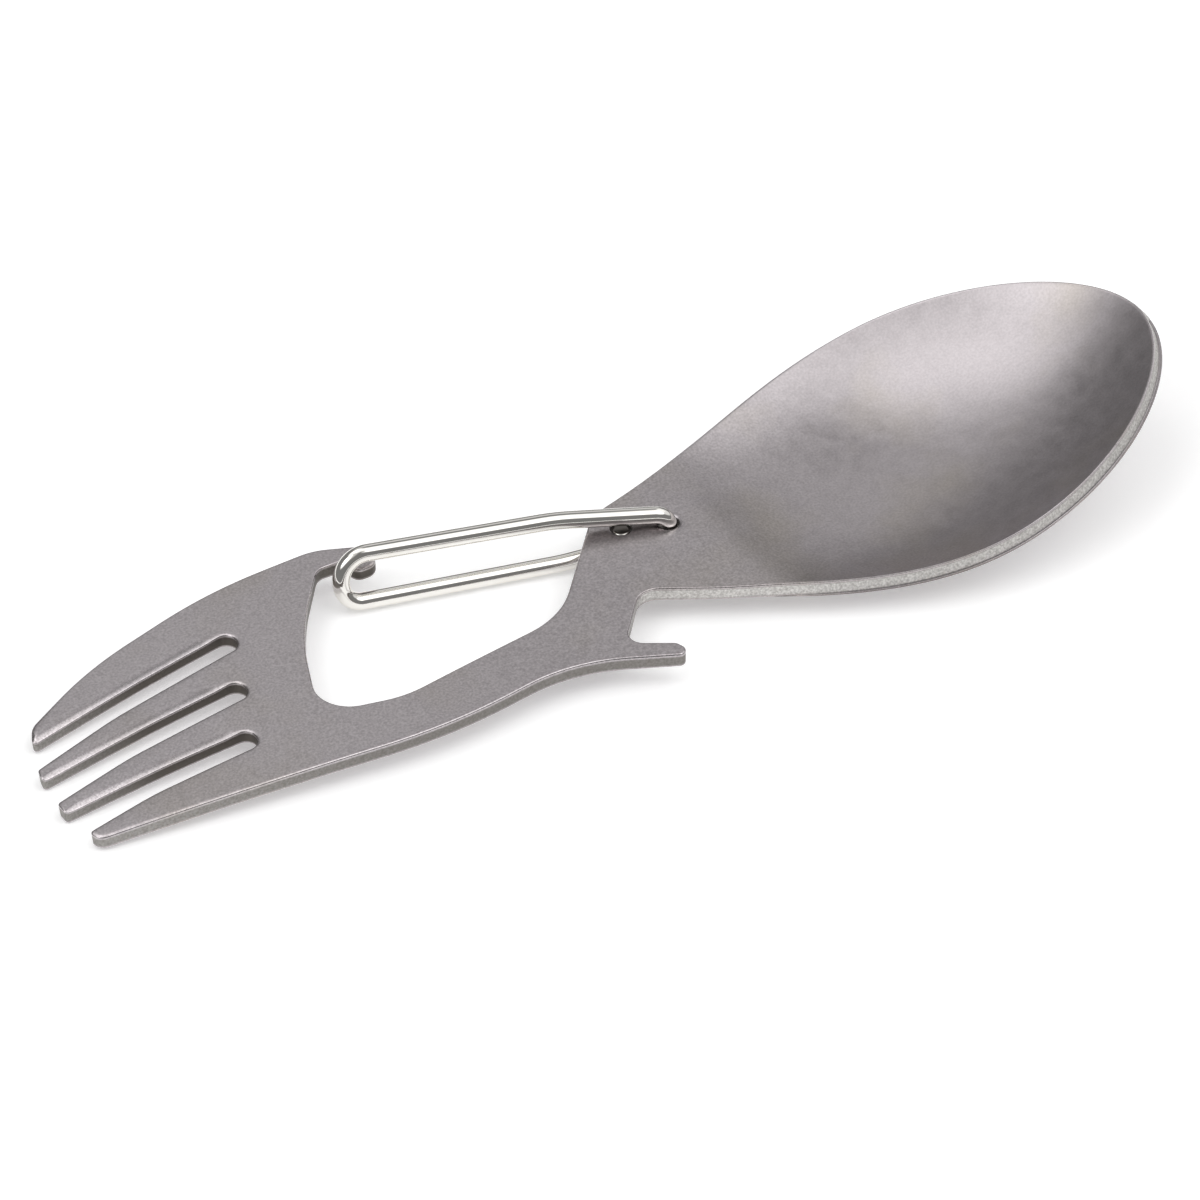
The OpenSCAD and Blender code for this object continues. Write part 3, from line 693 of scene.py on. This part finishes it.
# %% Colours of the blasted steel
SATIN_ROUGH, RUBBED_ROUGH, WALL_ROUGH = (0.32, 0.38), 0.22, 0.5
GRAIN_BUMP, GRAIN_HIGH = 0.15, 0.02
satin = add_node(tree, "ShaderNodeMix", {
    0: clouded, 6: linear("#B2ACAE"), 7: linear("#BEB8BA")}, data_type="RGBA").outputs[2]
satin = add_node(tree, "ShaderNodeMix", {
    0: fork_lightened, 6: satin, 7: linear("#C6C0C2")}, data_type="RGBA").outputs[2]
satin = add_node(tree, "ShaderNodeMix", {
    0: stained, 6: satin, 7: linear("#B5ADA2")}, data_type="RGBA").outputs[2]
specks = add_node(tree, "ShaderNodeMix", {
    0: grained, 6: linear("#7A7476"), 7: linear("#E0DADC")}, data_type="RGBA").outputs[2]
satin = add_node(tree, "ShaderNodeMix", {0: speckled, 6: satin, 7: specks}, data_type="RGBA").outputs[2]
# A light grainy wall, partly the blasted finish and partly painted light, and a dark wall, painted shade in
# the slots, holes, seat and nose.
lit_wall_colour = add_node(tree, "ShaderNodeMix", {
    0: grained, 6: linear("#ACA9A6"), 7: linear("#DDDBD8")}, data_type="RGBA").outputs[2]
wall = add_node(tree, "ShaderNodeMix", {
    0: wall_light, 6: linear("#615C57"), 7: lit_wall_colour}, data_type="RGBA").outputs[2]
colour = add_node(tree, "ShaderNodeMix", {0: torn, 6: satin, 7: wall}, data_type="RGBA")
tree.links.new(colour.outputs[2], shader.inputs["Base Color"])
rough = add_node(tree, "ShaderNodeMix", {0: clouded, 2: SATIN_ROUGH[0], 3: SATIN_ROUGH[1]})
rough = add_node(tree, "ShaderNodeMix", {0: rubbed, 2: rough.outputs[0], 3: RUBBED_ROUGH})
rough = add_node(tree, "ShaderNodeMix", {0: torn, 2: rough.outputs[0], 3: WALL_ROUGH})
tree.links.new(rough.outputs[0], shader.inputs["Roughness"])
bump = add_node(tree, "ShaderNodeBump", {
    "Height": grain, "Strength": GRAIN_BUMP, "Distance": GRAIN_HIGH * MM})
tree.links.new(bump.outputs[0], shader.inputs["Normal"])
sheet_mesh.materials.append(blasted)
print("blasted steel: %d nodes" % len(tree.nodes))

# %% [markdown]
# ### Drawn and polished wire
# Spring wire is pulled through a die and polished, so it mirrors the studio sharply, with very
# fine lines along its length. The legs run close to the X axis, so noise that is stretched along
# X gives those lines. Its cut ends are dull, and they are painted dark as well, as painted shade
# for the ends that sit down in the holes; the value that narrows the wire there also tells the
# finish where they are.

# %% Polished wire
LINE_MM, SMEAR_MM, LINE_STRETCH, LINE_BUMP, LINE_HIGH = 0.15, 4.0, 0.02, 0.12, 0.01
WIRE_ROUGH, CUT_ROUGH, CUT_TAPER = (0.03, 0.07), 0.3, (0.98, 0.8)
polished, tree, shader = new_material("polished_spring_wire")
place = add_node(tree, "ShaderNodeTexCoord").outputs["Object"]
stretched = add_node(tree, "ShaderNodeMapping", {
    "Vector": place, "Scale": (LINE_STRETCH, 1.0, 1.0)}).outputs[0]
lines = add_node(tree, "ShaderNodeTexNoise", {
    "Vector": stretched, "Scale": per_mm(LINE_MM), "Detail": 3.0}).outputs[0]
smear = add_node(tree, "ShaderNodeTexNoise", {
    "Vector": place, "Scale": per_mm(SMEAR_MM), "Detail": 3.0}).outputs[0]
width = add_node(tree, "ShaderNodeAttribute", attribute_name="taper").outputs["Fac"]
dull_shaded_end = add_node(tree, "ShaderNodeMapRange", {"Value": width, 1: CUT_TAPER[0], 2: CUT_TAPER[1]}).outputs[0]
colour = add_node(tree, "ShaderNodeMix", {
    0: smear, 6: linear("#F2F0EC"), 7: linear("#E4E1DB")}, data_type="RGBA")
# The cut ends are dull, and painted dark as well, as painted shade for the ends that sit in the holes.
colour = add_node(tree, "ShaderNodeMix", {
    0: dull_shaded_end, 6: colour.outputs[2], 7: linear("#6E6A66")}, data_type="RGBA")
tree.links.new(colour.outputs[2], shader.inputs["Base Color"])
rough = add_node(tree, "ShaderNodeMix", {0: smear, 2: WIRE_ROUGH[0], 3: WIRE_ROUGH[1]})
rough = add_node(tree, "ShaderNodeMix", {0: dull_shaded_end, 2: rough.outputs[0], 3: CUT_ROUGH})
tree.links.new(rough.outputs[0], shader.inputs["Roughness"])
bump = add_node(tree, "ShaderNodeBump", {
    "Height": lines, "Strength": LINE_BUMP, "Distance": LINE_HIGH * MM})
tree.links.new(bump.outputs[0], shader.inputs["Normal"])
print("polished wire: %d nodes" % len(tree.nodes))

# %% Sweep the two pieces of the wire
WIRE_SIDES = 48
END_ROUND, END_STEPS = 0.35, 7
STUB_SLIM = 0.012


def sweep_piece(name, line, diameter):
    """Sweeps one piece of wire along its line, with its first end rounded, as a plain mesh."""
    turns = np.linspace(math.pi / 2, 0, END_STEPS)
    inset = END_ROUND * (1 - np.sin(turns))
    points = np.concatenate([line[0] + unit(line[1] - line[0]) * inset[:, None], line[1:]])
    tapers = np.ones(len(points))
    tapers[:len(turns)] = 1 - END_ROUND / (diameter / 2) * (1 - np.cos(turns))
    mesh = bpy.data.meshes.new(name + "_line")
    mesh.from_pydata(((points - (CENTRE_X, 0, 0)) * MM).tolist(),
                     [(i, i + 1) for i in range(len(points) - 1)], [])
    mesh.attributes.new("taper", "FLOAT", "POINT").data.foreach_set("value", tapers)
    piece = bpy.data.objects.new(name, mesh)
    bpy.context.scene.collection.objects.link(piece)
    modifier = piece.modifiers.new("sweep", "NODES")
    modifier.node_group = sweep
    values = {"Diameter": diameter * MM, "Sides": WIRE_SIDES, "Material": polished}
    for item in sweep.interface.items_tree:
        if item.in_out == "INPUT" and item.name in values:
            modifier[item.identifier] = values[item.name]
    evaluated = piece.evaluated_get(bpy.context.evaluated_depsgraph_get())
    swept = bpy.data.meshes.new_from_object(evaluated)
    piece.modifiers.clear()
    piece.data = swept
    swept.name = name
    print("%s: %d faces" % (name, len(swept.polygons)))
    return piece


upper_wire = sweep_piece("upper_gate_wire", upper_line, WIRE_D)
lower_wire = sweep_piece("lower_gate_wire", lower_line, WIRE_D - STUB_SLIM)

# %% [markdown]
# ## Pieces and bodies
# Each piece rides on a body of the CAD model and stands for the CAD node that it replaces.

# %% Ride on the bodies
for piece, body, node, finish in ((sheet, "sheet", "sheet_body", "blasted_steel"),
                                  (upper_wire, "gate_upper", "gate_upper_wire", "polished_wire"),
                                  (lower_wire, "gate_lower", "gate_lower_wire", "polished_wire")):
    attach(piece, body)
    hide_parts(node)
    print(piece.name, "rides on", body)

# %% [markdown]
# ## The studio
# A white table carries the tool and takes its soft shadow. It also glows a little by itself, to
# the camera and in reflections alone, because a white sweep in a studio is lit from all sides.
# Round diffusers stand about it: two high on the near side, which the wire mirrors as its white
# band, two overhead, two on the right, three on the left and two weak ones behind. Lamps would
# stand at some distance, so each diffuser is drawn in the world as a disc round one direction,
# with a soft edge.

# %% Table
FLOOR_HALF, FLOOR_DROP, FLOOR_GLOW = 3.0, 0.05, 0.3
floor_mesh = bpy.data.meshes.new("table")
floor_mesh.from_pydata([(sx * FLOOR_HALF, sy * FLOOR_HALF, -FLOOR_DROP * MM)
                        for sx, sy in ((-1, -1), (1, -1), (1, 1), (-1, 1))], [], [(0, 1, 2, 3)])
floor = bpy.data.objects.new("table", floor_mesh)
bpy.context.scene.collection.objects.link(floor)
white = bpy.data.materials.new("white_table")
white.use_nodes = True
tree = white.node_tree
tree.nodes.clear()
matt = add_node(tree, "ShaderNodeBsdfDiffuse", {"Color": linear("#F7F7F7")})
path = add_node(tree, "ShaderNodeLightPath")
seen = add_node(tree, "ShaderNodeMath", {0: path.outputs["Is Camera Ray"], 1: path.outputs["Is Glossy Ray"]},
                operation="ADD")
seen = add_node(tree, "ShaderNodeMath", {0: seen.outputs[0], 1: path.outputs["Is Transmission Ray"]},
                operation="ADD", use_clamp=True)
level = add_node(tree, "ShaderNodeMath", {0: seen.outputs[0], 1: FLOOR_GLOW}, operation="MULTIPLY")
glow = add_node(tree, "ShaderNodeEmission", {"Color": linear("#FFFFFF"), "Strength": level.outputs[0]})
both = add_node(tree, "ShaderNodeAddShader", {0: matt.outputs[0], 1: glow.outputs[0]})
add_node(tree, "ShaderNodeOutputMaterial", {"Surface": both.outputs[0]})
floor_mesh.materials.append(white)
print("table: %.0f m wide" % (2 * FLOOR_HALF))

# %% Diffusers in the room
# Azimuth, elevation, radius and half the width of the soft edge, in degrees, and brightness,
# where a white card lit from all round by 1 is white. Places and sizes were chosen, and
# most of the brightness was fitted to the light on the metal in the photograph.
DIFFUSERS = ((35, 55, 18, 5, 1.2), (15, 58, 14, 5, 0.6), (0, 90, 16, 8, 0.95), (60, 75, 14, 6, 0.26),
             (85, 44, 30, 6, 0.62), (95, 52, 16, 6, 0.36), (144, 35, 12, 8, 0.45), (172, 46, 12, 8, 0.35),
             (216, 65, 14, 8, 1.46), (275, 45, 16, 8, 1.8), (285, 52, 22, 8, 0.45))
ROOM_LEVEL = 0.21
world = bpy.data.worlds.new("dim_room")
bpy.context.scene.world = world
world.use_nodes = True
tree = world.node_tree
tree.nodes.clear()
looked = add_node(tree, "ShaderNodeTexCoord").outputs["Generated"]
total = ROOM_LEVEL
for azimuth, elevation, radius, soft, brightness in DIFFUSERS:
    towards = direction(math.radians(azimuth), math.radians(elevation))
    facing = add_node(tree, "ShaderNodeVectorMath", {0: looked, 1: towards}, operation="DOT_PRODUCT")
    none_at, full_at = (math.cos(math.radians(radius + side * soft)) for side in (1, -1))
    disc = add_node(tree, "ShaderNodeMapRange", {
        "Value": facing.outputs["Value"], 1: none_at, 2: full_at}, interpolation_type="SMOOTHSTEP")
    total = add_node(tree, "ShaderNodeMath", {
        0: disc.outputs[0], 1: brightness, 2: total}, operation="MULTIPLY_ADD").outputs[0]
room = add_node(tree, "ShaderNodeBackground", {"Color": linear("#FFFFFF"), "Strength": total})
add_node(tree, "ShaderNodeOutputWorld", {"Surface": room.outputs[0]})
bpy.context.scene.view_settings.view_transform = "Standard"
print("diffusers:", len(DIFFUSERS))
